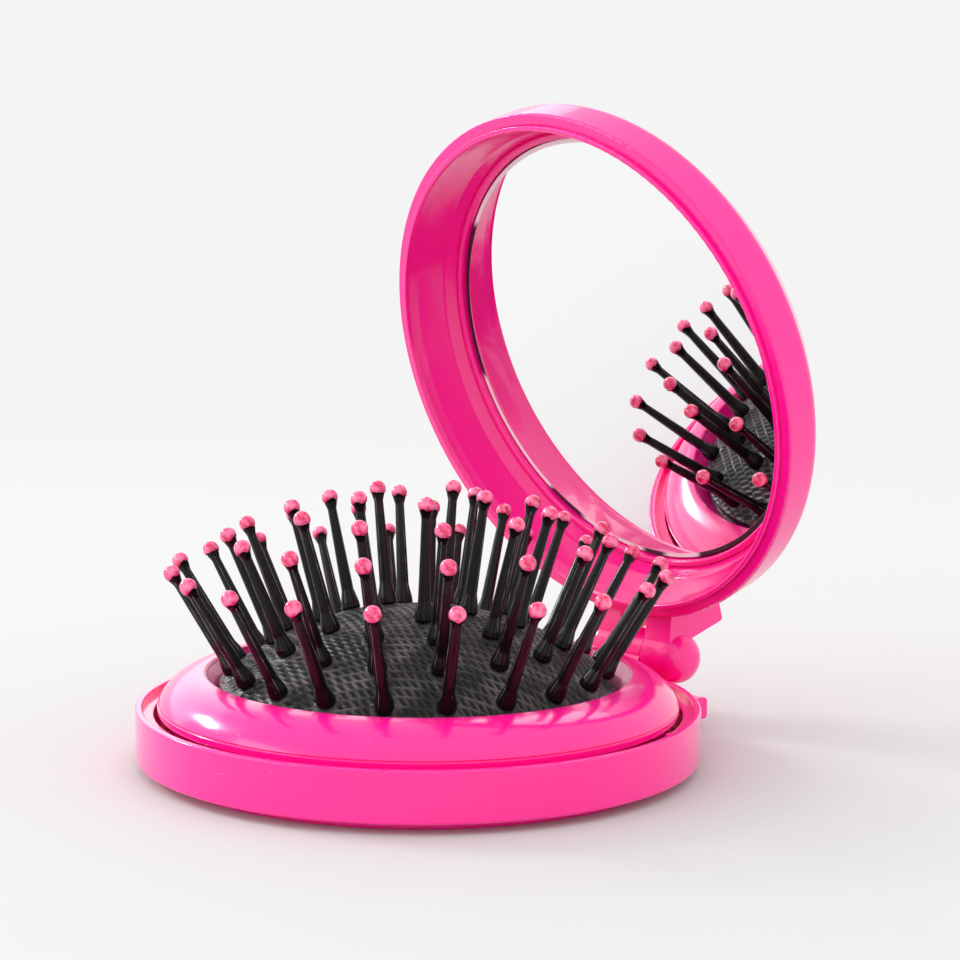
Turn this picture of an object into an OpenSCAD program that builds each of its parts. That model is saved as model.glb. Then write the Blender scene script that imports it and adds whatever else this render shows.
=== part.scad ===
// Folding compact hairbrush with a mirror in its lid.
// Frame: origin at the centre of the push cup's underside, which stands on the table.
// +Z is up and +Y points to the hinge. Millimetres.

/* [Case ring] */
// Outer radius of the round case
case_r = 35; // [32:0.5:42]
// Height of the case ring's wall
case_h = 6.3; // [5.8:0.1:9]
// Thickness of the case ring's wall
case_wall = 1.3; // [1.1:0.1:1.8]
// Width of the lip round the ring's top edge
lip_w = 0.9; // [0.7:0.1:1.2]
// Depth of the step inside that lip
lip_depth = 0.8; // [0.6:0.1:1.2]
// Width of the ledge that stands inside the wall and guides the head
ledge_w = 1; // [0.6:0.1:1.5]
// Thickness of that ledge
ledge_h = 1; // [0.8:0.1:1.5]
// Thickness of the inward flange at the ring's bottom
flange_h = 0.9; // [0.8:0.1:1.2]
// Width of the two small keys on the ledge
key_w = 0.8; // [0.5:0.1:1.5]
// Angle of each key from the hinge axis
key_angle = 20; // [10:1:45]

/* [Brush head] */
// Slack between the head and the ledge that guides it
head_slack = 0.4; // [0.3:0.05:0.6]
// Slack between the cup's wall and the ring's bottom flange
cup_slack = 0.3; // [0.25:0.05:0.5]
// Gap left at each end stop
stop_gap = 0.1; // [0.05:0.05:0.2]
// How far the cup's wall stands in from the bezel
cup_inset = 1.3; // [1.1:0.1:1.8]
// Thickness of the cup's wall and floor
cup_wall = 1.5; // [1.2:0.1:2]
// Thickness of the cup's foot, which stops the ring
foot_h = 1.1; // [0.8:0.1:1.5]
// How far the foot stands out from the cup's wall
foot_out = 1.2; // [0.8:0.1:1.6]
// How far the joint between cup and bezel lies below the case ring's rim
joint_drop = 0.6; // [0.4:0.1:0.9]
// Height of the upright band at the bezel's foot
band_h = 0.85; // [0.6:0.05:1.1]
// Radius of the groove above that band
groove_r = 0.2; // [0.1:0.05:0.3]
// Height of the bezel's bend above the groove
bend_h = 3.85; // [3.4:0.05:4.2]
// How far the bezel's edge reaches in over its skirt
edge_over = 2.15; // [1.9:0.05:2.4]
// Rounding of the opening's edge
edge_round = 0.4; // [0.2:0.1:0.6]
// How far the opening narrows towards the cushion
throat_in = 1.3; // [0.8:0.1:1.5]
// Depth of the bezel's skirt inside the cup
skirt_depth = 2.6; // [1.5:0.1:3.5]
// Thickness of the bezel's skirt
skirt_wall = 1.1; // [0.8:0.1:1.5]
// Gap between pieces that are glued or snapped together
seat_gap = 0.05; // [0.02:0.01:0.1]

/* [Cushion] */
// Radius of the cushion's domed face
dome_r = 38; // [36:0.5:44]
// How far the rubber's edge lies below the bezel's top
pad_drop = 1.3; // [1:0.1:1.8]
// Thickness of the rubber
pad_wall = 1.2; // [1:0.1:1.5]
// Gap between the rubber and the bezel's throat
pad_slack = 0.25; // [0.15:0.05:0.4]
// Height of the rib that carries the rubber, above the joint between cup and bezel
rib_up = 0.9; // [0.5:0.1:1.1]

/* [Pins] */
// Length of a pin from the cushion to the middle of its ball
pin_length = 14.6; // [10:0.1:16]
// Distance of the outer pins' feet from the rubber's edge
foot_margin = 1.8; // [1.8:0.1:4]
// Radius of a pin's shaft at its foot
shaft_r = 0.78; // [0.5:0.01:0.9]
// Radius of the shaft under the ball
shaft_top_r = 0.56; // [0.45:0.01:0.7]
// Radius of the ball at the tip
ball_r = 1; // [0.9:0.05:1.2]
// Radius of the collar under the ball
collar_r = 0.82; // [0.7:0.01:0.88]
// Radius of the flared foot
flare_r = 1.25; // [1:0.05:1.4]
// Height of the flared foot
flare_h = 2.6; // [1.5:0.1:3]
// Radius of the neck that passes through the rubber
neck_r = 0.6; // [0.4:0.05:0.7]
// Slack round the neck, in radius
neck_slack = 0.05; // [0.03:0.01:0.08]
// Radius of the head under the rubber
head_r = 1.2; // [1:0.05:1.4]
// Thickness of the head under the rubber
head_h = 0.8; // [0.6:0.1:1]
// Radius of the sphere that the leaning pins all point away from
lean_r = 44; // [40:0.5:60]

/* [Lid] */
// Gap between the closed lid's rim and the case ring
rim_gap = 0.1; // [0.1:0.05:0.3]
// How far the lid's wall stands in from the case ring's
lid_inset = 0.4; // [0.2:0.1:1]
// Height of the lid's upright wall
lid_wall_h = 4.9; // [4.5:0.1:6]
// Thickness of the lid's shell
lid_shell = 1.4; // [1.2:0.1:1.8]
// Width of the bevel between the lid's wall and its back
bevel_w = 5; // [4:0.1:6]
// How far the liner's lip stands out of the lid
liner_lip = 0.6; // [0.3:0.1:0.6]
// Thickness of the liner's lip
liner_wall = 0.65; // [0.5:0.05:0.9]
// Width of the lid's frame round the mirror
frame_w = 5.45; // [5.3:0.05:6]
// Thickness of the mirror
mirror_t = 1.2; // [1:0.1:1.4]
// Depth of the mirror's face from the lid's rim
mirror_depth = 7.8; // [7.4:0.1:8]
// Thickness of the adhesive foam behind the mirror
foam_t = 0.3; // [0.2:0.1:0.5]
// How far the adhesive foam stops inside the mirror's edge
foam_inset = 4.15; // [1:0.05:14]

/* [Hinge] */
// Distance of the hinge axis from the case ring's outer wall
hinge_out = 5.3; // [5:0.1:6.5]
// Height of the hinge axis above the case ring's rim
hinge_up = 1.1; // [0.8:0.1:2]
// How far the lid stands open
lid_open = 73.2; // [0:0.1:150]
// Diameter of the steel hinge pin
pin_d = 1.5; // [1:0.1:2]
// Slack round the hinge pin, in radius
pin_slack = 0.04; // [0.02:0.01:0.08]
// Radius of the case ring's knuckle
knuckle_r = 3.1; // [2.2:0.1:3.2]
// Half the width of the case ring's knuckle
knuckle_half = 2.1; // [1.6:0.1:3]
// Radius of the lid's two knuckles
arm_knuckle_r = 3.4; // [2.8:0.1:3.6]
// Rounding of the lid knuckles' outer ends
arm_dome = 2.6; // [1:0.1:2.7]
// Distance from the middle to the lid knuckles' outer ends
arm_end = 8.6; // [7.5:0.1:9.5]
// How far the lid's arms stand in from those ends
arm_step = 1.7; // [0.6:0.1:2.2]
// How far the arms' outer face lies inside the hinge axis
arm_inset = 1.9; // [1.4:0.1:2.4]
// Height of the arms' top above the hinge axis, with the lid closed
arm_top = 8.8; // [7:0.1:9]
// Gap between neighbouring knuckles
knuckle_gap = 0.3; // [0.2:0.05:0.5]
// Half the width of the ledge under the hinge
hinge_ledge_half = 11.8; // [9:0.1:13]
// Height of that ledge
hinge_ledge_h = 2.9; // [2:0.1:3.2]

/* [Hidden] */
$fn = 96;

// Places of the case ring
case_z = foot_h + stop_gap;
rim_z = case_z + case_h;
case_in_r = case_r - case_wall;
ledge_z = rim_z - lip_depth;
ledge_r = case_in_r - ledge_w;

// Places of the brush head
bezel_r = ledge_r - head_slack;
cup_r = bezel_r - cup_inset;
guide_r = cup_r + cup_slack;
cup_in_r = cup_r - cup_wall;
joint_z = rim_z - joint_drop;
groove_z = joint_z + band_h;
crown_z = groove_z + bend_h;
skirt_r = cup_in_r - seat_gap;
skirt_in_r = skirt_r - skirt_wall;
opening_r = skirt_in_r - edge_over;
throat_r = opening_r - throat_in;

// Places of the cushion
pad_r = throat_r - pad_slack;
pad_in_r = pad_r - pad_wall;
rib_z = joint_z + rib_up;
pad_flange_r = skirt_in_r - seat_gap;
pad_flange_top = rib_z + seat_gap + pad_wall;
dome_z = crown_z - pad_drop - sqrt(dome_r * dome_r - pad_r * pad_r);

// Rings of pins, from the outside in: [letter, count, angle of the first pin]
RINGS = [["a", 20, 2.8], ["b", 15, 14.8], ["c", 10, 4.5], ["d", 5, 35.9]];
// The rings stand the same step apart over the dome
ring_step = asin((pad_r - foot_margin) / dome_r) / len(RINGS);
PINS = [
  for (k = [0 : len(RINGS) - 1]) for (i = [0 : RINGS[k][1] - 1])
    [pin_name(RINGS[k], i), dome_r * sin((len(RINGS) - k) * ring_step), RINGS[k][2] + i * 360 / RINGS[k][1]]
];

// Places of the lid, which is drawn closed and then swung open about the hinge
lid_z = rim_z + rim_gap;
lid_r = case_r - lid_inset;
lid_in_r = lid_r - lid_shell;
mirror_r = lid_r - frame_w;
mirror_z = lid_z + mirror_depth;
foam_z = mirror_z + mirror_t;
floor_z = foam_z + foam_t;
back_z = floor_z + lid_shell - seat_gap;
floor_r = mirror_r + seat_gap;
liner_r = lid_in_r - seat_gap;
liner_in_r = liner_r - liner_wall;
bore_r = mirror_r + 3 * seat_gap;

// Places of the hinge
hinge_y = case_r + hinge_out;
hinge_z = rim_z + hinge_up;
pin_r = pin_d / 2;
arm_in = knuckle_half + knuckle_gap;
root_y = sqrt(case_in_r * case_in_r - hinge_ledge_half * hinge_ledge_half);

PINK = "#ff3d9e";
BLACK = "#1c181a";

function pin_name(ring, i) = str("pin_", ring[0], i < 9 ? "0" : "", i + 1);
function unit(v) = v / norm(v);
function at(p, i) = let (q = p[(i + len(p)) % len(p)]) [q.x, q.y];
// Above 0 where an outline that runs anticlockwise turns left
function turn(p, i) = cross(at(p, i) - at(p, i - 1), at(p, i + 1) - at(p, i));
// Height of the cushion's face at a distance from the middle
function dome_height(r) = dome_z + sqrt(dome_r * dome_r - r * r);

// The two points where the rounding of a corner begins and ends
function tangents(p, i) =
  let (
    u = unit(at(p, i - 1) - at(p, i)),
    v = unit(at(p, i + 1) - at(p, i)),
    along = p[i].z / tan(acos(u * v) / 2)
  )
  [at(p, i) + along * u, at(p, i) + along * v];
function centre(p, i) =
  let (
    u = unit(at(p, i - 1) - at(p, i)),
    v = unit(at(p, i + 1) - at(p, i))
  )
  at(p, i) + unit(u + v) * p[i].z / sin(acos(u * v) / 2);
function is_hollow(p, i) = p[i].z > 0 && turn(p, i) < 0;

// What a corner's rounding takes away: the tip outside the arc, or the round side of a hollow corner
module corner(p, i) {
  ends = tangents(p, i);
  middle = centre(p, i);
  tip = at(p, i) + 0.1 * unit(at(p, i) - middle);
  if (is_hollow(p, i)) intersection() {
    polygon([ends[0], at(p, i), ends[1], middle]);
    translate(middle) circle(r = p[i].z);
  }
  else difference() {
    polygon([ends[0], tip, ends[1]]);
    translate(middle) circle(r = p[i].z);
  }
}

// An outline of [x, y, rounding] corners, anticlockwise
module outline(p) {
  difference() {
    polygon([for (i = [0 : len(p) - 1]) each is_hollow(p, i) ? tangents(p, i) : [at(p, i)]]);
    for (i = [0 : len(p) - 1]) if (p[i].z > 0) corner(p, i);
  }
}

// A shape of [y, z] drawn in the plane across the hinge, spread from x0 to x1
module across(x0, x1) {
  translate([x0, 0, 0]) rotate([90, 0, 90]) linear_extrude(x1 - x0) children();
}

// A round bar along the hinge axis, rounded at its x1 end
module barrel(r, x0, x1, round) {
  translate([x0, hinge_y, hinge_z]) rotate([0, 90, 0]) rotate_extrude()
    outline([[0, 0, 0], [r, 0, 0.15], [r, x1 - x0, round], [0, x1 - x0, 0]]);
}

// Swings what is drawn closed to where the lid stands
module swung() {
  translate([0, hinge_y, hinge_z]) rotate([-lid_open, 0, 0]) translate([0, -hinge_y, -hinge_z]) children();
}

module push_cup() {
  foot_r = cup_r + foot_out;
  skirt_z = joint_z - skirt_depth - seat_gap;
  color(PINK) rotate_extrude() outline([
    [0, 0, 0], [foot_r, 0, 0.3], [foot_r, foot_h, 0.2], [cup_r, foot_h, 0],
    [cup_r, joint_z, 0.1], [cup_in_r, joint_z, 0.1], [cup_in_r, skirt_z, 0],
    [pad_flange_r, skirt_z, 0], [pad_flange_r, rib_z, 0.1], [pad_r + 1, rib_z, 0.1],
    [pad_r + 1, cup_wall, 0.8], [0, cup_wall, 0]
  ]);
}

module bezel_ring() {
  crown_r = opening_r + edge_round;
  run = bezel_r - crown_r;
  bend_r = (run * run + bend_h * bend_h) / (2 * bend_h);
  seat_z = rib_z + pad_wall + 2 * seat_gap;
  color(PINK) rotate_extrude() difference() {
    union() {
      intersection() {
        translate([crown_r, crown_z - bend_r]) circle(r = bend_r);
        translate([throat_r, groove_z]) square([bezel_r - throat_r, bend_h + 1]);
      }
      translate([throat_r, joint_z]) square([bezel_r - throat_r, band_h + 0.1]);
      translate([skirt_in_r, joint_z - skirt_depth]) square([skirt_wall, skirt_depth + 1]);
    }
    translate([0, joint_z - 1]) square([skirt_in_r, seat_z - joint_z + 1]);
    polygon([[0, seat_z - 1], [throat_r, seat_z], [opening_r, crown_z - edge_round], [opening_r, crown_z + 1], [0, crown_z + 1]]);
    difference() {
      translate([opening_r - 0.1, crown_z - edge_round]) square(edge_round + 0.1);
      translate([crown_r, crown_z - edge_round]) circle(r = edge_round);
    }
    translate([bezel_r, groove_z]) circle(r = groove_r);
  }
}

// The pins' own frame: origin where a pin leaves the cushion's face, +Z towards its ball
module at_pin(pin) {
  rotate([0, 0, pin[2]]) translate([pin[1], 0, dome_height(pin[1])]) rotate([0, asin(pin[1] / lean_r), 0]) children();
}

module cushion_pad() {
  color("#2b2729") difference() {
    rotate_extrude() difference() {
      union() {
        intersection() {
          translate([0, dome_z]) circle(r = dome_r);
          translate([0, rib_z + seat_gap]) square([pad_r, dome_r]);
        }
        translate([pad_in_r, rib_z + seat_gap]) square([pad_flange_r - seat_gap - pad_in_r, pad_wall]);
      }
      intersection() {
        translate([0, dome_z]) circle(r = dome_r - pad_wall);
        square([pad_in_r, dome_r]);
      }
    }
    for (pin = PINS) at_pin(pin) {
      translate([0, 0, -2 * pad_wall]) cylinder(r = neck_r + neck_slack, h = 3 * pad_wall);
      cylinder(r = flare_r + 2 * neck_slack, h = pad_wall);
      translate([0, 0, -2 * pad_wall]) cylinder(r = head_r + 2 * neck_slack, h = pad_wall);
    }
  }
}

module pin(pin) {
  under = -pad_wall - seat_gap;
  neck = pin_length - ball_r;
  color(BLACK) at_pin(pin) rotate_extrude() {
    outline([
      [0, under - head_h, 0], [head_r, under - head_h, 0.2], [head_r, under, 0.15], [neck_r, under, 0],
      [neck_r, seat_gap, 0], [flare_r, seat_gap, 0.35], [flare_r - 0.1, 0.4 * flare_h, 1],
      [shaft_r, flare_h, 1.5], [shaft_top_r, neck - 0.5, 1], [collar_r, neck + 0.35, 0], [0, neck + 0.35, 0]
    ]);
    intersection() {
      translate([0, pin_length]) circle(r = ball_r);
      translate([0, neck - 1]) square(pin_length);
    }
  }
}

// The ledge under the hinge and the neck of the case ring's knuckle, which start inside the ring's wall
module hinge_base() {
  base_z = case_z + 0.3;
  end_y = hinge_y - 0.2;
  across(-hinge_ledge_half, hinge_ledge_half) outline([
    [root_y, base_z, 0], [end_y, base_z, 0.5], [end_y, base_z + hinge_ledge_h, 0.8], [root_y, base_z + hinge_ledge_h, 0]
  ]);
  across(-knuckle_half, knuckle_half) outline([
    [root_y, base_z, 0], [end_y, base_z, 0.5], [hinge_y + knuckle_r, hinge_z, 0], [hinge_y, hinge_z, 0],
    [hinge_y - knuckle_r, hinge_z, 0], [case_r + 0.8, rim_z - 1.2, 1.2], [root_y, rim_z - 1.2, 0]
  ]);
}

module case_ring() {
  key = ledge_w - head_slack;
  color(PINK) difference() {
    union() {
      rotate_extrude() outline([
        [guide_r, case_z, 0.2], [case_r, case_z, 0.4], [case_r, rim_z, 0.25], [case_r - lip_w, rim_z, 0.2],
        [case_r - lip_w, ledge_z, 0], [ledge_r, ledge_z, 0.2], [ledge_r, ledge_z - ledge_h, 0.2],
        [case_in_r, ledge_z - ledge_h, 0.3], [case_in_r, case_z + flange_h, 0.3], [guide_r, case_z + flange_h, 0.2]
      ]);
      for (angle = [key_angle, 180 - key_angle]) rotate([0, 0, angle])
        translate([case_r - lip_w - key, -key_w / 2, ledge_z - ledge_h / 2])
          cube([key + lip_w / 2, key_w, ledge_h / 2 + 0.9 * lip_depth]);
      difference() {
        hinge_base();
        cylinder(r = case_r - case_wall / 2, h = 2 * rim_z);
      }
      barrel(knuckle_r, -knuckle_half, knuckle_half, 0.15);
    }
    barrel(pin_r + pin_slack, -arm_end, arm_end, 0);
  }
}

module hinge_pin() {
  color("#b9bcc2") barrel(pin_r, 0.4 - arm_end, arm_end - 1.2, 0.15);
}

// One of the lid's two arms, on the +X side, with its domed knuckle
module arm() {
  back_y = hinge_y - arm_inset;
  top_z = hinge_z + arm_top;
  across(arm_in, arm_end - arm_step) outline([
    [lid_in_r - 1, lid_z + 1.4, 0], [hinge_y - 2.2, hinge_z - 2, 0.8], [hinge_y, hinge_z, 0],
    [back_y, hinge_z + 1, 0], [back_y, top_z, 0.4], [lid_r - bevel_w + 0.9, top_z, 0]
  ]);
  barrel(arm_knuckle_r, arm_in, arm_end, arm_dome);
}

module lid_cover() {
  crown_round = 7;
  back_r = lid_r - bevel_w;
  color(PINK) swung() difference() {
    union() {
      rotate_extrude() outline([
        [0, lid_z, 0], [lid_r, lid_z, 0.3], [lid_r, lid_z + lid_wall_h, 1.5], [back_r, back_z, crown_round], [0, back_z, 0]
      ]);
      arm();
      mirror([1, 0, 0]) arm();
    }
    rotate_extrude() outline([
      [0, lid_z - 1, 0], [lid_in_r, lid_z - 1, 0], [lid_in_r, lid_z + lid_wall_h - 0.3, 0.5], [floor_r, floor_z, 0],
      [0, floor_z, 0]
    ]);
    barrel(pin_r + pin_slack, -arm_end - 1, arm_end - 1.1, 0);
  }
}

module lid_liner() {
  color(PINK) swung() rotate_extrude() outline([
    [liner_in_r, lid_z - liner_lip, 0.15], [liner_r, lid_z - liner_lip, 0.15],
    [liner_r, lid_z + lid_wall_h - 0.4, 0.5], [bore_r, floor_z - 5 * seat_gap, 0],
    [bore_r, mirror_z - 0.9, 0.3], [bore_r + 0.8, mirror_z - 0.9, 0.3], [bore_r + 0.95, mirror_z - 0.55, 0],
    [bore_r + 1.85, mirror_z - 2.4, 2.5], [liner_in_r - 0.3, lid_z + 1.4, 6], [liner_in_r, lid_z, 1]
  ]);
}

module mirror_disc() {
  color("#e8ebee") swung() rotate_extrude()
    outline([[0, mirror_z, 0], [mirror_r, mirror_z, 0.1], [mirror_r, foam_z, 0], [0, foam_z, 0]]);
}

module mirror_foam() {
  color("#f4f4f0") swung() translate([0, 0, foam_z]) cylinder(r = mirror_r - foam_inset, h = foam_t);
}

push_cup();
bezel_ring();
cushion_pad();
case_ring();
hinge_pin();
lid_cover();
lid_liner();
mirror_disc();  // mirror
mirror_foam();
for (pin = PINS) {
  pin(pin);
}
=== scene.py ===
import math

import bmesh
import bpy
import numpy as np
from mathutils import Matrix, Vector, noise


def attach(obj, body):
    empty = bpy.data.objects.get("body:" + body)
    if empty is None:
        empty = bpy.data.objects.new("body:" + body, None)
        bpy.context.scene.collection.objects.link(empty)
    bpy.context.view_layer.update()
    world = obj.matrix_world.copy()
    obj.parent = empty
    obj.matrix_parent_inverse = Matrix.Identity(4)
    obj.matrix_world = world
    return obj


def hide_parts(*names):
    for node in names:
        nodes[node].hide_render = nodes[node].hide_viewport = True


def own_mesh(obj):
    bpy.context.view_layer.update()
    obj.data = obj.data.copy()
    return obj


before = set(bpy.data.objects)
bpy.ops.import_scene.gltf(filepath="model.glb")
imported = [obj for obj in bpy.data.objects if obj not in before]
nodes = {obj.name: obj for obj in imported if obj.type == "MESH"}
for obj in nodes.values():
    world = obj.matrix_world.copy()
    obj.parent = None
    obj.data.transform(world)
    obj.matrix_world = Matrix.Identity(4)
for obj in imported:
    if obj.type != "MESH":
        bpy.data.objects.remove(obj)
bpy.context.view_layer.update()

mm = 0.001  # metres in a millimetre
scene = bpy.context.scene


def srgb(text):
    parts = [int(text[i:i + 2], 16) / 255 for i in (1, 3, 5)]
    return tuple(c / 12.92 if c <= 0.04045 else ((c + 0.055) / 1.055) ** 2.4 for c in parts) + (1.0,)


# Camera

shot = {
    "place": (237.33, -208.24, 78.82),
    "forward": (-0.72928, 0.67049, -0.13636),
    "roll": math.radians(0.552),
    "lens": 97.2525,
}


def makeCamera():
    data = bpy.data.cameras.new("camera")
    data.sensor_width = 36
    data.lens = shot["lens"]
    data.clip_start, data.clip_end = 0.01, 20
    forward = Vector(shot["forward"]).normalized()
    right = forward.cross(Vector((0, 0, 1))).normalized()
    up = right.cross(forward)
    c, s = math.cos(shot["roll"]), math.sin(shot["roll"])
    right, up = c * right + s * up, c * up - s * right
    camera = bpy.data.objects.new("camera", data)
    turn = Matrix((right, up, -forward)).transposed().to_4x4()
    camera.matrix_world = Matrix.Translation(Vector(shot["place"]) * mm) @ turn
    scene.collection.objects.link(camera)
    scene.camera = camera


makeCamera()
print("camera made")


# Materials. A pattern's scale is written 1000 / size, with the size of its features in millimetres.

def addNode(tree, kind, inputs, **settings):
    node = tree.nodes.new(kind)
    for key, value in settings.items():
        setattr(node, key, value)
    for key, value in inputs.items():
        if isinstance(value, bpy.types.NodeSocket):
            tree.links.new(value, node.inputs[key])
        else:
            node.inputs[key].default_value = value
    return node.outputs


def newMaterial(name):
    material = bpy.data.materials.new(name)
    material.use_nodes = True
    material.node_tree.nodes.clear()
    return material, material.node_tree


def glossAbs():
    # ABS from a polished mould: strong pink all through, a soft shine, a few fine pale scratches from use
    material, tree = newMaterial("glossAbs")
    where = addNode(tree, "ShaderNodeTexCoord", {})["Object"]
    cloud = addNode(tree, "ShaderNodeTexNoise", {"Vector": where, "Scale": 1000 / 22, "Detail": 2})["Fac"]
    flow = addNode(tree, "ShaderNodeTexNoise", {"Vector": where, "Scale": 1000 / 9, "Detail": 1})["Fac"]
    grain = addNode(tree, "ShaderNodeTexNoise", {"Vector": where, "Scale": 1000 / 0.4, "Detail": 2})["Fac"]
    marks = 0.0  # scratches in two directions, joined
    for turn in ((0.3, 0.5, 0.7), (1.1, -0.4, 2.0)):
        along = addNode(tree, "ShaderNodeMapping", {
            "Vector": where, "Rotation": turn, "Scale": (1, 22, 7)})[0]
        lines = addNode(tree, "ShaderNodeTexNoise", {"Vector": along, "Scale": 1000 / 2, "Detail": 2})["Fac"]
        thin = addNode(tree, "ShaderNodeMapRange", {"Value": lines, "From Min": 0.74, "From Max": 0.76})[0]
        marks = addNode(tree, "ShaderNodeMath", {0: marks, 1: thin}, operation="MAXIMUM")[0]
    patch = addNode(tree, "ShaderNodeMapRange", {"Value": flow, "From Min": 0.57, "From Max": 0.65})[0]
    scratch = addNode(tree, "ShaderNodeMath", {0: marks, 1: patch}, operation="MULTIPLY")[0]
    share = addNode(tree, "ShaderNodeMath", {0: scratch, 1: 0.5}, operation="MULTIPLY")[0]
    pink = addNode(tree, "ShaderNodeMix", {
        0: cloud, 6: srgb("#FF0C96"), 7: srgb("#FF098D")}, data_type="RGBA")[2]
    shade = addNode(tree, "ShaderNodeMix", {0: share, 6: pink, 7: srgb("#FFC4E0")}, data_type="RGBA")[2]
    gloss = addNode(tree, "ShaderNodeMapRange", {
        "Value": cloud, "From Min": 0.3, "From Max": 0.7, "To Min": 0.17, "To Max": 0.24})[0]
    dull = addNode(tree, "ShaderNodeMath", {0: scratch, 1: 0.3, 2: gloss}, operation="MULTIPLY_ADD")[0]
    waves = addNode(tree, "ShaderNodeBump", {"Height": flow, "Distance": 0.00004, "Strength": 0.5})[0]
    skin = addNode(tree, "ShaderNodeBump", {
        "Height": grain, "Distance": 0.000003, "Strength": 0.5, "Normal": waves})[0]
    surface = addNode(tree, "ShaderNodeBsdfPrincipled", {
        "Base Color": shade, "Roughness": dull, "IOR": 1.54, "Normal": skin,
        "Subsurface Weight": 0.2, "Subsurface Radius": (1.0, 0.15, 0.5), "Subsurface Scale": 0.0015,
        "Coat Weight": 0.55, "Coat Roughness": 0.05, "Coat IOR": 1.5,
    })[0]
    addNode(tree, "ShaderNodeOutputMaterial", {"Surface": surface})
    return material


def mouldedNylon():
    # black nylon from a polished mould: nearly black, with flow streaks along the pins and specks of dust
    material, tree = newMaterial("mouldedNylon")
    where = addNode(tree, "ShaderNodeTexCoord", {})["Object"]
    along = addNode(tree, "ShaderNodeMapping", {"Vector": where, "Scale": (1, 1, 0.12)})[0]
    streak = addNode(tree, "ShaderNodeTexNoise", {"Vector": along, "Scale": 1000 / 0.5, "Detail": 2})["Fac"]
    cloud = addNode(tree, "ShaderNodeTexNoise", {"Vector": where, "Scale": 1000 / 3, "Detail": 3})["Fac"]
    grain = addNode(tree, "ShaderNodeTexNoise", {"Vector": where, "Scale": 1000 / 0.2, "Detail": 1})["Fac"]
    dust = addNode(tree, "ShaderNodeMapRange", {
        "Value": grain, "From Min": 0.79, "From Max": 0.83, "To Max": 0.55})[0]
    black = addNode(tree, "ShaderNodeMix", {
        0: cloud, 6: srgb("#080607"), 7: srgb("#120E10")}, data_type="RGBA")[2]
    shade = addNode(tree, "ShaderNodeMix", {0: dust, 6: black, 7: srgb("#C8C4C4")}, data_type="RGBA")[2]
    gloss = addNode(tree, "ShaderNodeMapRange", {
        "Value": cloud, "From Min": 0.3, "From Max": 0.7, "To Min": 0.14, "To Max": 0.24})[0]
    lines = addNode(tree, "ShaderNodeBump", {"Height": streak, "Distance": 0.00003, "Strength": 0.5})[0]
    surface = addNode(tree, "ShaderNodeBsdfPrincipled", {
        "Base Color": shade, "Roughness": gloss, "IOR": 1.53, "Specular IOR Level": 0.28, "Normal": lines})[0]
    addNode(tree, "ShaderNodeOutputMaterial", {"Surface": surface})
    return material


def ridgeHighlightNylon():
    # the mould lines stand proud of the pins; they are dull, and painted pale grey in patches as a painted
    # highlight along each ridge
    material, tree = newMaterial("ridgeHighlightNylon")
    where = addNode(tree, "ShaderNodeTexCoord", {})["Object"]
    palePatchNoise = addNode(tree, "ShaderNodeTexNoise", {"Vector": where, "Scale": 1000 / 2.5, "Detail": 3})["Fac"]
    tone = addNode(tree, "ShaderNodeMapRange", {"Value": palePatchNoise, "From Min": 0.42, "From Max": 0.62})[0]
    # painted highlight: patches of pale grey on the dark ridge stand in for the light lines that run along
    # the shafts
    paintedRidgeHighlight = addNode(tree, "ShaderNodeMix", {
        0: tone, 6: srgb("#141012"), 7: srgb("#7C7476")}, data_type="RGBA")[2]
    surface = addNode(tree, "ShaderNodeBsdfPrincipled", {
        "Base Color": paintedRidgeHighlight, "Roughness": 0.35, "IOR": 1.53})[0]
    addNode(tree, "ShaderNodeOutputMaterial", {"Surface": surface})
    return material


def dippedVinyl():
    # soft vinyl that the tips are dipped in: lumpy, glossy, a little see-through; its pink is painted lighter
    # on the lumps and darker between them, as painted highlight and painted shade
    material, tree = newMaterial("dippedVinyl")
    where = addNode(tree, "ShaderNodeTexCoord", {})["Object"]
    lump = addNode(tree, "ShaderNodeTexNoise", {"Vector": where, "Scale": 1000 / 0.9, "Detail": 2})["Fac"]
    grain = addNode(tree, "ShaderNodeTexNoise", {"Vector": where, "Scale": 1000 / 0.25, "Detail": 2})["Fac"]
    # painted highlight and shade: the pink follows the lumps at random, lighter on top of them and darker
    # between them
    tone = addNode(tree, "ShaderNodeMapRange", {"Value": lump, "From Min": 0.38, "From Max": 0.62})[0]
    pink = addNode(tree, "ShaderNodeMix", {
        0: tone, 6: srgb("#D9175C"), 7: srgb("#FF7BA9")}, data_type="RGBA")[2]
    gloss = addNode(tree, "ShaderNodeMapRange", {
        "Value": grain, "From Min": 0.3, "From Max": 0.7, "To Min": 0.12, "To Max": 0.26})[0]
    lumps = addNode(tree, "ShaderNodeBump", {"Height": lump, "Distance": 0.00012, "Strength": 0.6})[0]
    skin = addNode(tree, "ShaderNodeBump", {
        "Height": grain, "Distance": 0.00002, "Strength": 0.6, "Normal": lumps})[0]
    surface = addNode(tree, "ShaderNodeBsdfPrincipled", {
        "Base Color": pink, "Roughness": gloss, "IOR": 1.53, "Normal": skin,
        "Subsurface Weight": 0.3, "Subsurface Radius": (1.0, 0.3, 0.45), "Subsurface Scale": 0.0005,
        "Coat Weight": 0.6, "Coat Roughness": 0.08,
    })[0]
    addNode(tree, "ShaderNodeOutputMaterial", {"Surface": surface})
    return material


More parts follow.
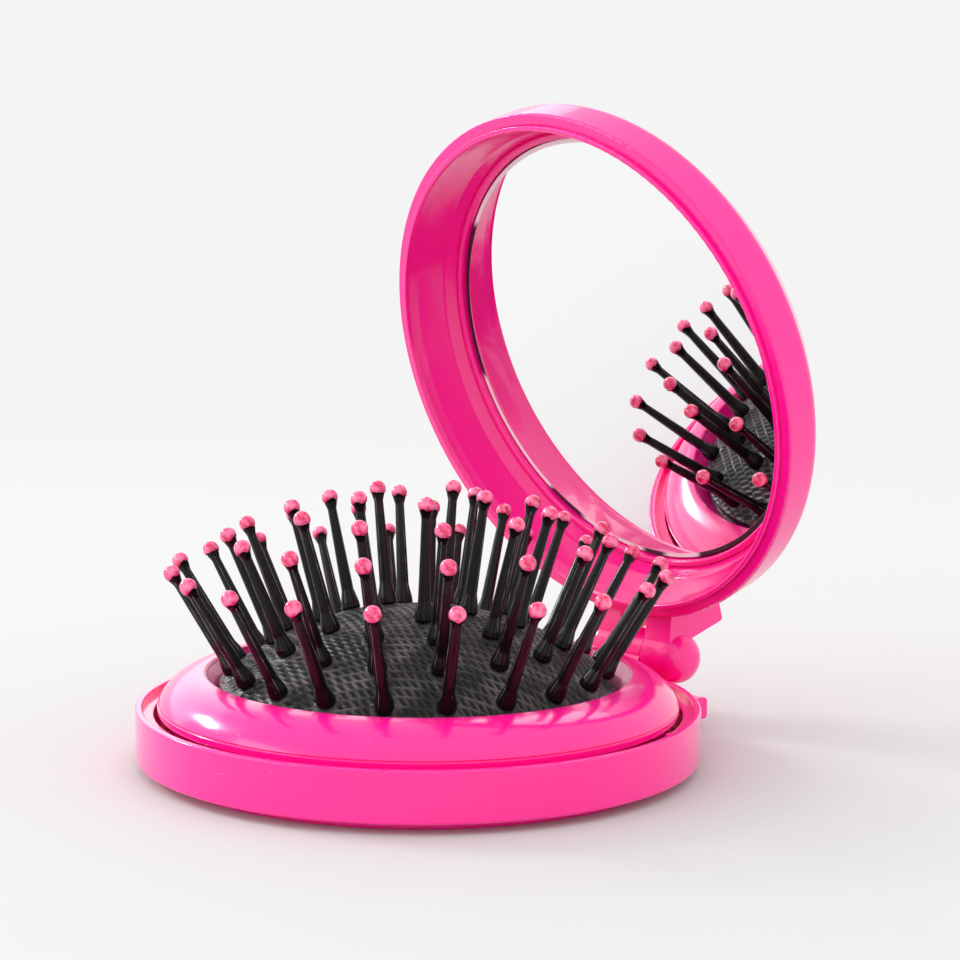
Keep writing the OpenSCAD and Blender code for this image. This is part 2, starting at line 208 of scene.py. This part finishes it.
def wovenRubber():
    # rubber pressed with a weave: ribs worn shiny; pits painted darker than the ribs as painted shade; pale
    # patches on the ribs, partly wear and partly painted highlight; pale dust
    material, tree = newMaterial("wovenRubber")
    where = addNode(tree, "ShaderNodeTexCoord", {})["Object"]
    weave = addNode(tree, "ShaderNodeAttribute", {}, attribute_name="weave")["Fac"]
    palePatchNoise = addNode(tree, "ShaderNodeTexNoise", {"Vector": where, "Scale": 1000 / 4, "Detail": 3})["Fac"]
    grain = addNode(tree, "ShaderNodeTexNoise", {"Vector": where, "Scale": 1000 / 0.4, "Detail": 3})["Fac"]
    fleck = addNode(tree, "ShaderNodeTexNoise", {"Vector": where, "Scale": 1000 / 0.32, "Detail": 1})["Fac"]
    dust = addNode(tree, "ShaderNodeMapRange", {
        "Value": fleck, "From Min": 0.76, "From Max": 0.8, "To Max": 0.6})[0]
    # painted shade: the pits between the ribs are painted nearly black, darker than the ribs, where shade
    # falls
    rib = addNode(tree, "ShaderNodeMix", {
        0: weave, 6: srgb("#060505"), 7: srgb("#1C181A")}, data_type="RGBA")[2]
    # pale patches on the rib tops: partly wear, partly a painted highlight
    wearAndHighlightShare = addNode(tree, "ShaderNodeMapRange", {
        "Value": palePatchNoise, "From Min": 0.42, "From Max": 0.68, "To Max": 0.55})[0]
    share = addNode(tree, "ShaderNodeMath", {0: wearAndHighlightShare, 1: weave}, operation="MULTIPLY")[0]
    pale = addNode(tree, "ShaderNodeMix", {0: share, 6: rib, 7: srgb("#857C7E")}, data_type="RGBA")[2]
    shade = addNode(tree, "ShaderNodeMix", {0: dust, 6: pale, 7: srgb("#D8D4D2")}, data_type="RGBA")[2]
    gloss = addNode(tree, "ShaderNodeMapRange", {"Value": weave, "To Min": 0.6, "To Max": 0.18})[0]
    skin = addNode(tree, "ShaderNodeBump", {"Height": grain, "Distance": 0.00003, "Strength": 0.5})[0]
    surface = addNode(tree, "ShaderNodeBsdfPrincipled", {
        "Base Color": shade, "Roughness": gloss, "IOR": 1.52, "Specular IOR Level": 0.34, "Normal": skin})[0]
    addNode(tree, "ShaderNodeOutputMaterial", {"Surface": surface})
    return material


def silveredGlass():
    # silvered glass: a clear image, and a matt ground rim painted in broken dark and bright bits, a painted
    # glint and painted shade of the glass edge
    material, tree = newMaterial("silveredGlass")
    middle = sum((Vector(corner) for corner in nodes["mirror"].bound_box), Vector()) / 8
    where = addNode(tree, "ShaderNodeTexCoord", {})["Object"]
    reach = addNode(tree, "ShaderNodeVectorMath", {0: where, 1: middle}, operation="DISTANCE")["Value"]
    ground = addNode(tree, "ShaderNodeMapRange", {
        "Value": reach, "From Min": 0.02852, "From Max": 0.02858})[0]
    # painted glint and shade: broken dark and bright bits on the ground rim stand in for the glass edge
    # catching the light
    glintNoise = addNode(tree, "ShaderNodeTexNoise", {"Vector": where, "Scale": 1000 / 16, "Detail": 1})["Fac"]
    bright = addNode(tree, "ShaderNodeMapRange", {"Value": glintNoise, "From Min": 0.5, "From Max": 0.53})[0]
    rim = addNode(tree, "ShaderNodeMix", {
        0: bright, 6: srgb("#241A1E"), 7: srgb("#F4F0F1")}, data_type="RGBA")[2]
    shade = addNode(tree, "ShaderNodeMix", {0: ground, 6: srgb("#FBFCFC"), 7: rim}, data_type="RGBA")[2]
    silver = addNode(tree, "ShaderNodeMath", {0: 1.0, 1: ground}, operation="SUBTRACT")[0]
    matt = addNode(tree, "ShaderNodeMath", {0: ground, 1: 0.35}, operation="MULTIPLY")[0]
    surface = addNode(tree, "ShaderNodeBsdfPrincipled", {
        "Base Color": shade, "Metallic": silver, "Roughness": matt, "IOR": 1.52})[0]
    addNode(tree, "ShaderNodeOutputMaterial", {"Surface": surface})
    return material


def acrylicFoam():
    # open-cell acrylic foam: off-white and dull, with fine cells
    material, tree = newMaterial("acrylicFoam")
    where = addNode(tree, "ShaderNodeTexCoord", {})["Object"]
    cells = addNode(tree, "ShaderNodeTexVoronoi", {"Vector": where, "Scale": 1000 / 0.4})["Distance"]
    skin = addNode(tree, "ShaderNodeBump", {"Height": cells, "Distance": 0.00004, "Strength": 0.6})[0]
    surface = addNode(tree, "ShaderNodeBsdfPrincipled", {
        "Base Color": srgb("#F2F1EC"), "Roughness": 0.85, "IOR": 1.49, "Normal": skin})[0]
    addNode(tree, "ShaderNodeOutputMaterial", {"Surface": surface})
    return material


def drawnSteel():
    # cold-drawn steel wire: fine drawing lines run along the pin
    material, tree = newMaterial("drawnSteel")
    where = addNode(tree, "ShaderNodeTexCoord", {})["Object"]
    along = addNode(tree, "ShaderNodeMapping", {"Vector": where, "Scale": (1, 40, 40)})[0]
    lines = addNode(tree, "ShaderNodeTexNoise", {"Vector": along, "Scale": 1000 / 1.1, "Detail": 3})["Fac"]
    gloss = addNode(tree, "ShaderNodeMapRange", {
        "Value": lines, "From Min": 0.3, "From Max": 0.7, "To Min": 0.22, "To Max": 0.36})[0]
    skin = addNode(tree, "ShaderNodeBump", {"Height": lines, "Distance": 0.000004, "Strength": 0.5})[0]
    surface = addNode(tree, "ShaderNodeBsdfPrincipled", {
        "Base Color": srgb("#C4C6CA"), "Metallic": 1.0, "Roughness": gloss, "Normal": skin})[0]
    addNode(tree, "ShaderNodeOutputMaterial", {"Surface": surface})
    return material


pinkAbs = glossAbs()
blackNylon = mouldedNylon()
mouldLine = ridgeHighlightNylon()
tipVinyl = dippedVinyl()
looks = {
    "push_cup": pinkAbs, "bezel_ring": pinkAbs, "case_ring": pinkAbs,
    "lid_cover": pinkAbs, "lid_liner": pinkAbs,
    "mirror": silveredGlass(), "mirror_foam": acrylicFoam(), "hinge_pin": drawnSteel(),
}
for name, node in nodes.items():
    node.data.materials.clear()
    node.data.materials.append(looks.get(name, blackNylon))
print("materials made")


# Cushion and pins

cushion = {
    "radius": 24.65, "dome": 38.0, "edgeZ": 10.3, "wall": 1.2, "low": 7.85, "flange": 28.25,
    "ribAz": (132, 82), "pitch": (1.25, 0.82), "rib": 0.17, "relief": 0.25, "slantShare": 0.8,
    "calmEdge": 0.5, "calmFoot": (1.0, 0.7), "pucker": (0.12, 1.2, 0.5), "grid": 480, "underRings": 12,
}
cushion["centreZ"] = cushion["edgeZ"] - math.sqrt(cushion["dome"] ** 2 - cushion["radius"] ** 2)
pinRings = {"a": (20, 2.8), "b": (15, 14.8), "c": (10, 4.5), "d": (5, 35.9)}
pin = {
    "margin": 1.8, "lean": 44.0, "length": 14.6, "ball": 1.0, "flare": 1.25, "flareTop": 2.6,
    "shaft": 0.78, "shaftTop": 0.56, "collar": 0.82,
}


def pinFrames():
    places = {}
    step = math.asin((cushion["radius"] - pin["margin"]) / cushion["dome"]) / len(pinRings)
    for k, (letter, (count, first)) in enumerate(pinRings.items()):
        radius = cushion["dome"] * math.sin((len(pinRings) - k) * step)
        z = cushion["centreZ"] + math.sqrt(cushion["dome"] ** 2 - radius ** 2)
        lean = Matrix.Rotation(math.asin(radius / pin["lean"]), 4, "Y")
        for i in range(count):
            turn = Matrix.Rotation(math.radians(first + i * 360 / count), 4, "Z")
            places[f"pin_{letter}{i + 1:02d}"] = turn @ Matrix.Translation((radius, 0, z)) @ lean
    return places


frames = pinFrames()


def toObject(name, mesh, material):
    mesh.materials.append(material)
    mesh.polygons.foreach_set("use_smooth", [True] * len(mesh.polygons))
    piece = bpy.data.objects.new(name, mesh)
    scene.collection.objects.link(piece)
    return piece


def weaveHeight(x, y):
    # long ribs, with short slanted ribs between them that step sideways from row to row
    c = cushion
    longAz, slantAz = (math.radians(az) for az in c["ribAz"])
    across = (x * math.cos(longAz) + y * math.sin(longAz)) / c["pitch"][0]
    row = np.floor(across)
    slant = (x * math.cos(slantAz) + y * math.sin(slantAz)) / c["pitch"][1] + 0.5 * row
    longOff = (across - np.round(across)) * c["pitch"][0]
    slantOff = (slant - np.round(slant)) * c["pitch"][1]
    slantRib = c["slantShare"] * np.exp(-(slantOff / c["rib"]) ** 2)
    return np.maximum(np.exp(-(longOff / c["rib"]) ** 2), slantRib)


def makeCushion():
    c = cushion
    n = c["grid"]
    side = np.linspace(-1, 1, n)
    u, v = (axis.ravel() for axis in np.meshgrid(side, side, indexing="ij"))
    x = c["radius"] * u * np.sqrt(1 - v * v / 2)
    y = c["radius"] * v * np.sqrt(1 - u * u / 2)
    r = np.hypot(x, y)
    weave = weaveHeight(x, y)
    edge = np.clip((c["radius"] - r) / c["calmEdge"], 0, 1)
    clear, spread = c["calmFoot"]
    puckerHeight, puckerReach, puckerWidth = c["pucker"]
    calm = edge
    pucker = np.zeros_like(x)  # the rubber rises a little round each pin
    for place in frames.values():
        foot = place.translation
        d = np.hypot(x - foot.x, y - foot.y)
        calm = np.minimum(calm, np.clip((d - clear) / spread, 0, 1))
        pucker += puckerHeight * np.exp(-((d - puckerReach) / puckerWidth) ** 2)
    lift = c["relief"] * (weave - 1) * calm + pucker * edge
    height = np.sqrt(c["dome"] ** 2 - r * r)
    scale = 1 + lift / c["dome"]
    top = np.stack([x * scale, y * scale, c["centreZ"] + height * scale], axis=1)
    index = np.arange(n * n).reshape(n, n)
    corners = [index[:-1, :-1], index[1:, :-1], index[1:, 1:], index[:-1, 1:]]
    quads = np.stack(corners, axis=-1).reshape(-1, 4)
    rim = np.concatenate([index[:-1, 0], index[-1, :-1], index[:0:-1, -1], index[0, :0:-1]])
    around = np.arctan2(y[rim], x[rim])
    inner = c["dome"] - c["wall"]
    inRadius = c["radius"] - c["wall"]
    flangeTop = c["low"] + c["wall"]
    rings = [(c["radius"], flangeTop), (c["flange"], flangeTop)]
    rings += [(c["flange"], c["low"]), (inRadius, c["low"])]
    for k in np.linspace(inRadius, 2, c["underRings"]):
        rings.append((k, c["centreZ"] + math.sqrt(inner ** 2 - k ** 2)))
    verts, faces, last = [top], [quads], rim
    for radius, z in rings:
        start = n * n + (len(verts) - 1) * len(rim)
        ring = np.arange(len(rim)) + start
        level = np.full(len(rim), z)
        verts.append(np.stack([radius * np.cos(around), radius * np.sin(around), level], axis=1))
        faces.append(np.stack([last, ring, np.roll(ring, -1), np.roll(last, -1)], axis=1))
        last = ring
    verts = np.concatenate(verts) * mm
    mesh = bpy.data.meshes.new("cushion_weave")
    polygons = np.concatenate(faces).tolist() + [last[::-1].tolist()]
    mesh.from_pydata(verts.tolist(), [], polygons)
    tone = mesh.attributes.new("weave", "FLOAT", "POINT")
    shade = np.full(len(verts), 0.6)
    shade[:n * n] = weave * calm + 0.75 * (1 - calm)
    tone.data.foreach_set("value", shade)
    pad = toObject("cushion_weave", mesh, wovenRubber())
    made = bmesh.new()
    made.from_mesh(mesh)
    bmesh.ops.recalc_face_normals(made, faces=made.faces)
    made.to_mesh(mesh)
    made.free()
    mesh.set_sharp_from_angle(angle=math.radians(60))
    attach(pad, "brush")
    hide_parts("cushion_pad")
    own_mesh(pad)
    return pad


pad = makeCushion()
print("cushion made:", len(pad.data.polygons), "faces")


# Coated tips and mould lines

tip = {
    "ball": 1.03, "low": -0.42, "under": 0.84, "tuck": 0.03, "start": 0.11, "sag": 0.3,
    "sides": 28, "rings": 15,
}
seam = {"width": 0.15, "height": 0.04, "root": 0.03, "foot": 0.6, "gap": 0.1, "rows": 24}


def shaftRadius(z):
    # the shaft tapers between its flare and its collar, as in the part's source
    neck = pin["length"] - pin["ball"]
    points = [(0.6, pin["flare"] - 0.02), (1.04, pin["flare"] - 0.12), (pin["flareTop"], pin["shaft"]),
              (neck - 0.5, pin["shaftTop"]), (neck + 0.35, pin["collar"])]
    return float(np.interp(z, [p[0] for p in points], [p[1] for p in points]))


def makeTip():
    # a dipped cap over the upper part of the ball, with an uneven edge
    bm = bmesh.new()
    t = tip
    edge = math.acos(t["low"] / t["ball"])
    angles = np.linspace(t["start"], edge, t["rings"])
    outline = [(t["ball"] * math.sin(a), t["ball"] * math.cos(a)) for a in angles]
    outline.append((t["under"], t["low"] - t["tuck"]))
    rings = []
    for radius, z in outline:
        ring = []
        for k in range(t["sides"]):
            a = math.tau * k / t["sides"]
            uneven = noise.noise(Vector((math.cos(a) * 1.3, math.sin(a) * 1.3, 4.2)))
            sag = t["sag"] * uneven * min(1, max(0, 0.5 - z))
            point = (radius * math.cos(a), radius * math.sin(a), z + sag)
            ring.append(bm.verts.new(Vector(point) * mm))
        rings.append(ring)
    crown = bm.verts.new((0, 0, t["ball"] * mm))
    for k in range(t["sides"]):
        bm.faces.new((crown, rings[0][k], rings[0][(k + 1) % t["sides"]]))
    for a, b in zip(rings, rings[1:]):
        for k in range(t["sides"]):
            bm.faces.new((a[k], b[k], b[(k + 1) % t["sides"]], a[(k + 1) % t["sides"]]))
    mesh = bpy.data.meshes.new("tip")
    bm.to_mesh(mesh)
    bm.free()
    return mesh


def makeSeam():
    # the two halves of the mould leave a hair-thin ridge down each side of a pin
    bm = bmesh.new()
    low, high = seam["foot"], pin["length"] - pin["ball"] - seam["gap"]
    for side in (1, -1):
        rows = []
        for z in np.linspace(low, high, seam["rows"]):
            r = shaftRadius(z)
            root, top, half = r - seam["root"], r + seam["height"], seam["width"] / 2
            corners = ((root, -half), (top, 0), (root, half))
            rows.append([bm.verts.new(Vector((side * x, side * y, z)) * mm) for x, y in corners])
        for a, b in zip(rows, rows[1:]):
            for k in range(3):
                bm.faces.new((a[k], a[(k + 1) % 3], b[(k + 1) % 3], b[k]))
        bm.faces.new(rows[0][::-1])
        bm.faces.new(rows[-1])
    bmesh.ops.recalc_face_normals(bm, faces=bm.faces)
    mesh = bpy.data.meshes.new("seam")
    bm.to_mesh(mesh)
    bm.free()
    return mesh


def addToPins():
    cap, ridge = makeTip(), makeSeam()
    cap.materials.append(tipVinyl)
    ridge.materials.append(mouldLine)
    for mesh in (cap, ridge):
        mesh.polygons.foreach_set("use_smooth", [True] * len(mesh.polygons))
    for name, place in frames.items():
        for kind, mesh, lift in (("tip", cap, pin["length"]), ("seam", ridge, 0)):
            piece = bpy.data.objects.new(f"{name}_{kind}", mesh)
            scene.collection.objects.link(piece)
            turn = Matrix.Rotation(noise.random() * math.tau, 4, "Z")
            at = place @ Matrix.Translation((0, 0, lift)) @ turn
            at.translation = at.translation * mm
            piece.matrix_world = at
            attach(piece, name)


noise.seed_set(7)
addToPins()
print("tips and mould lines made")


# Floor, backdrop and lights

studio = {"floor": "#C9C9C9", "backdrop": "#F4F4F4", "world": 1.32, "fade": (0.1, 0.42)}
window = {"az": 168, "el": 24, "far": 2.7, "size": (2.6, 1.5), "power": 12}
key = {"az": -160, "el": 28, "far": 2.7, "size": (0.7, 0.3), "power": 24}
fill = {"az": -112, "el": 20, "far": 2.7, "size": (1.8, 1.2), "power": 14}


def makeFloor():
    # white paper: it keeps the shadows near the brush and runs evenly into the backdrop far away
    bm = bmesh.new()
    bmesh.ops.create_grid(bm, x_segments=8, y_segments=8, size=3.0)
    mesh = bpy.data.meshes.new("floor")
    bm.to_mesh(mesh)
    bm.free()
    material, tree = newMaterial("paperFloor")
    where = addNode(tree, "ShaderNodeTexCoord", {})["Object"]
    grain = addNode(tree, "ShaderNodeTexNoise", {"Vector": where, "Scale": 1000 / 1.1, "Detail": 3})["Fac"]
    skin = addNode(tree, "ShaderNodeBump", {"Height": grain, "Distance": 0.00002, "Strength": 0.2})[0]
    paper = addNode(tree, "ShaderNodeBsdfPrincipled", {
        "Base Color": srgb(studio["floor"]), "Roughness": 0.8, "Specular IOR Level": 0.1, "Normal": skin})[0]
    glow = addNode(tree, "ShaderNodeEmission", {"Color": srgb(studio["backdrop"])})[0]
    reach = addNode(tree, "ShaderNodeVectorMath", {0: where}, operation="LENGTH")["Value"]
    share = addNode(tree, "ShaderNodeMapRange", {
        "Value": reach, "From Min": studio["fade"][0], "From Max": studio["fade"][1]},
        interpolation_type="SMOOTHSTEP")[0]
    both = addNode(tree, "ShaderNodeMixShader", {0: share, 1: paper, 2: glow})[0]
    addNode(tree, "ShaderNodeOutputMaterial", {"Surface": both})
    toObject("floor", mesh, material)


def makeWorld():
    # the eye and the reflections see the backdrop; the light itself is white
    world = bpy.data.worlds.new("backdrop")
    scene.world = world
    world.use_nodes = True
    tree = world.node_tree
    tree.nodes.clear()
    path = addNode(tree, "ShaderNodeLightPath", {})
    seen = addNode(tree, "ShaderNodeMath", {
        0: path["Is Camera Ray"], 1: path["Is Glossy Ray"]}, operation="MAXIMUM")[0]
    seen = addNode(tree, "ShaderNodeMath", {0: seen, 1: path["Is Transmission Ray"]}, operation="MAXIMUM")[0]
    light = addNode(tree, "ShaderNodeBackground", {"Color": (1, 1, 1, 1), "Strength": studio["world"]})[0]
    paper = addNode(tree, "ShaderNodeBackground", {"Color": srgb(studio["backdrop"])})[0]
    both = addNode(tree, "ShaderNodeMixShader", {0: seen, 1: light, 2: paper})[0]
    addNode(tree, "ShaderNodeOutputWorld", {"Surface": both})


def makeLamp(name, lamp):
    data = bpy.data.lights.new(name, "AREA")
    data.shape = "RECTANGLE"
    data.size, data.size_y = lamp["size"]
    data.energy = lamp["power"]
    az, el = math.radians(lamp["az"]), math.radians(lamp["el"])
    away = Vector((math.cos(az) * math.cos(el), math.sin(az) * math.cos(el), math.sin(el)))
    box = bpy.data.objects.new(name, data)
    box.location = Vector((0, 0, 0.015)) + away * lamp["far"]
    box.rotation_mode = "QUATERNION"
    box.rotation_quaternion = (-away).to_track_quat("-Z", "Y")
    scene.collection.objects.link(box)


makeFloor()
makeWorld()
makeLamp("window", window)
makeLamp("key", key)
makeLamp("fill", fill)
scene.view_settings.view_transform = "Standard"
print("stage made")
